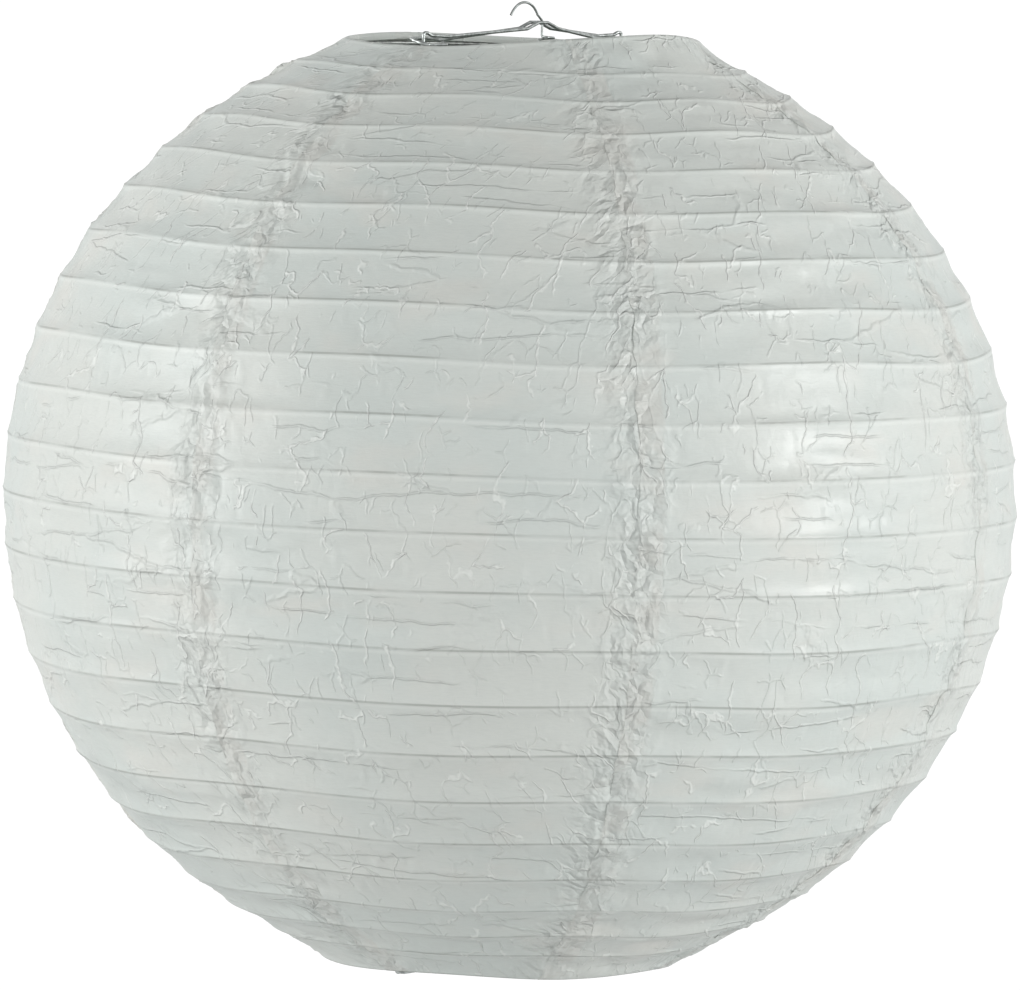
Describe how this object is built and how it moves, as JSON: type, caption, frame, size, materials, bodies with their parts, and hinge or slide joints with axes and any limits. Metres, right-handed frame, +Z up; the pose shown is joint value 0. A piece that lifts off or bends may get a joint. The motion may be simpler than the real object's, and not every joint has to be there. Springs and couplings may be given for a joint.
{
  "type": "paper lantern",
  "caption": "Round folding paper lantern shade over level wire hoops, open at both ends, held stretched by a wire expander with a swivel hook.",
  "frame": {"origin": "the hang point: the underside of the hook's crown", "axes": "+Z up through both round openings; X along the expander's bars; +Y level across them"},
  "size_m": [0.4, 0.4, 0.3804],
  "materials": {
    "steel_wire": "satin",
    "rib_wire": "satin",
    "rice_paper": "matte"
  },
  "bodies": {
    "hook": {"hook": "steel_wire"},
    "expander": {"expander_wire_left": "steel_wire", "top_rim_ring": "rib_wire", "gore_1": "rice_paper", "gore_2": "rice_paper", "gore_3": "rice_paper", "gore_4": "rice_paper", "gore_5": "rice_paper", "gore_6": "rice_paper", "gore_7": "rice_paper"},
    "expander_right": {"expander_wire_right": "steel_wire"},
    "bottom_rim": {"bottom_rim_ring": "rib_wire"},
    "rib_01": {"rib_01": "rib_wire"},
    "rib_02": {"rib_02": "rib_wire"},
    "rib_03": {"rib_03": "rib_wire"},
    "rib_04": {"rib_04": "rib_wire"},
    "rib_05": {"rib_05": "rib_wire"},
    "rib_06": {"rib_06": "rib_wire"},
    "rib_07": {"rib_07": "rib_wire"},
    "rib_08": {"rib_08": "rib_wire"},
    "rib_09": {"rib_09": "rib_wire"},
    "rib_10": {"rib_10": "rib_wire"},
    "rib_11": {"rib_11": "rib_wire"},
    "rib_12": {"rib_12": "rib_wire"},
    "rib_13": {"rib_13": "rib_wire"},
    "rib_14": {"rib_14": "rib_wire"},
    "rib_15": {"rib_15": "rib_wire"},
    "rib_16": {"rib_16": "rib_wire"},
    "rib_17": {"rib_17": "rib_wire"},
    "rib_18": {"rib_18": "rib_wire"},
    "rib_19": {"rib_19": "rib_wire"},
    "rib_20": {"rib_20": "rib_wire"},
    "rib_21": {"rib_21": "rib_wire"}
  },
  "joints": [
    {"name": "hook_swivel", "type": "hinge", "parent": "hook", "child": "expander", "pos_m": [0.0122, 0, 0], "axis": [0, 0, 1], "continuous": true},
    {"name": "expander_squeeze", "type": "slide", "parent": "expander", "child": "expander_right", "axis": [-1, 0, 0], "range_m": [0, 0.005]},
    {"name": "lantern_fold", "type": "slide", "parent": "expander", "child": "bottom_rim", "axis": [0, 0, 1], "range_m": [0, 0.3231], "deforming": ["gore_1", "gore_2", "gore_3", "gore_4", "gore_5", "gore_6", "gore_7"]},
    {"name": "rib_01_fold", "type": "slide", "parent": "expander", "child": "rib_01", "axis": [0, 0, 1], "range_m": [0, 0.00667]},
    {"name": "rib_02_fold", "type": "slide", "parent": "expander", "child": "rib_02", "axis": [0, 0, 1], "range_m": [0, 0.01539]},
    {"name": "rib_03_fold", "type": "slide", "parent": "expander", "child": "rib_03", "axis": [0, 0, 1], "range_m": [0, 0.02595]},
    {"name": "rib_04_fold", "type": "slide", "parent": "expander", "child": "rib_04", "axis": [0, 0, 1], "range_m": [0, 0.03828]},
    {"name": "rib_05_fold", "type": "slide", "parent": "expander", "child": "rib_05", "axis": [0, 0, 1], "range_m": [0, 0.05231]},
    {"name": "rib_06_fold", "type": "slide", "parent": "expander", "child": "rib_06", "axis": [0, 0, 1], "range_m": [0, 0.0679]},
    {"name": "rib_07_fold", "type": "slide", "parent": "expander", "child": "rib_07", "axis": [0, 0, 1], "range_m": [0, 0.08486]},
    {"name": "rib_08_fold", "type": "slide", "parent": "expander", "child": "rib_08", "axis": [0, 0, 1], "range_m": [0, 0.10298]},
    {"name": "rib_09_fold", "type": "slide", "parent": "expander", "child": "rib_09", "axis": [0, 0, 1], "range_m": [0, 0.12199]},
    {"name": "rib_10_fold", "type": "slide", "parent": "expander", "child": "rib_10", "axis": [0, 0, 1], "range_m": [0, 0.14163]},
    {"name": "rib_11_fold", "type": "slide", "parent": "expander", "child": "rib_11", "axis": [0, 0, 1], "range_m": [0, 0.16157]},
    {"name": "rib_12_fold", "type": "slide", "parent": "expander", "child": "rib_12", "axis": [0, 0, 1], "range_m": [0, 0.18151]},
    {"name": "rib_13_fold", "type": "slide", "parent": "expander", "child": "rib_13", "axis": [0, 0, 1], "range_m": [0, 0.20115]},
    {"name": "rib_14_fold", "type": "slide", "parent": "expander", "child": "rib_14", "axis": [0, 0, 1], "range_m": [0, 0.22016]},
    {"name": "rib_15_fold", "type": "slide", "parent": "expander", "child": "rib_15", "axis": [0, 0, 1], "range_m": [0, 0.23828]},
    {"name": "rib_16_fold", "type": "slide", "parent": "expander", "child": "rib_16", "axis": [0, 0, 1], "range_m": [0, 0.25524]},
    {"name": "rib_17_fold", "type": "slide", "parent": "expander", "child": "rib_17", "axis": [0, 0, 1], "range_m": [0, 0.27083]},
    {"name": "rib_18_fold", "type": "slide", "parent": "expander", "child": "rib_18", "axis": [0, 0, 1], "range_m": [0, 0.28486]},
    {"name": "rib_19_fold", "type": "slide", "parent": "expander", "child": "rib_19", "axis": [0, 0, 1], "range_m": [0, 0.29719]},
    {"name": "rib_20_fold", "type": "slide", "parent": "expander", "child": "rib_20", "axis": [0, 0, 1], "range_m": [0, 0.30775]},
    {"name": "rib_21_fold", "type": "slide", "parent": "expander", "child": "rib_21", "axis": [0, 0, 1], "range_m": [0, 0.31647]}
  ],
  "couplings": [
    {"joint": "rib_01_fold", "follows": "lantern_fold", "ratio": 0.02058},
    {"joint": "rib_02_fold", "follows": "lantern_fold", "ratio": 0.04758},
    {"joint": "rib_03_fold", "follows": "lantern_fold", "ratio": 0.08024},
    {"joint": "rib_04_fold", "follows": "lantern_fold", "ratio": 0.11841},
    {"joint": "rib_05_fold", "follows": "lantern_fold", "ratio": 0.16183},
    {"joint": "rib_06_fold", "follows": "lantern_fold", "ratio": 0.21008},
    {"joint": "rib_07_fold", "follows": "lantern_fold", "ratio": 0.26258},
    {"joint": "rib_08_fold", "follows": "lantern_fold", "ratio": 0.31865},
    {"joint": "rib_09_fold", "follows": "lantern_fold", "ratio": 0.37751},
    {"joint": "rib_10_fold", "follows": "lantern_fold", "ratio": 0.43827},
    {"joint": "rib_11_fold", "follows": "lantern_fold", "ratio": 0.5},
    {"joint": "rib_12_fold", "follows": "lantern_fold", "ratio": 0.56173},
    {"joint": "rib_13_fold", "follows": "lantern_fold", "ratio": 0.62249},
    {"joint": "rib_14_fold", "follows": "lantern_fold", "ratio": 0.68135},
    {"joint": "rib_15_fold", "follows": "lantern_fold", "ratio": 0.73742},
    {"joint": "rib_16_fold", "follows": "lantern_fold", "ratio": 0.78992},
    {"joint": "rib_17_fold", "follows": "lantern_fold", "ratio": 0.83817},
    {"joint": "rib_18_fold", "follows": "lantern_fold", "ratio": 0.88159},
    {"joint": "rib_19_fold", "follows": "lantern_fold", "ratio": 0.91976},
    {"joint": "rib_20_fold", "follows": "lantern_fold", "ratio": 0.95242},
    {"joint": "rib_21_fold", "follows": "lantern_fold", "ratio": 0.97942}
  ]
}
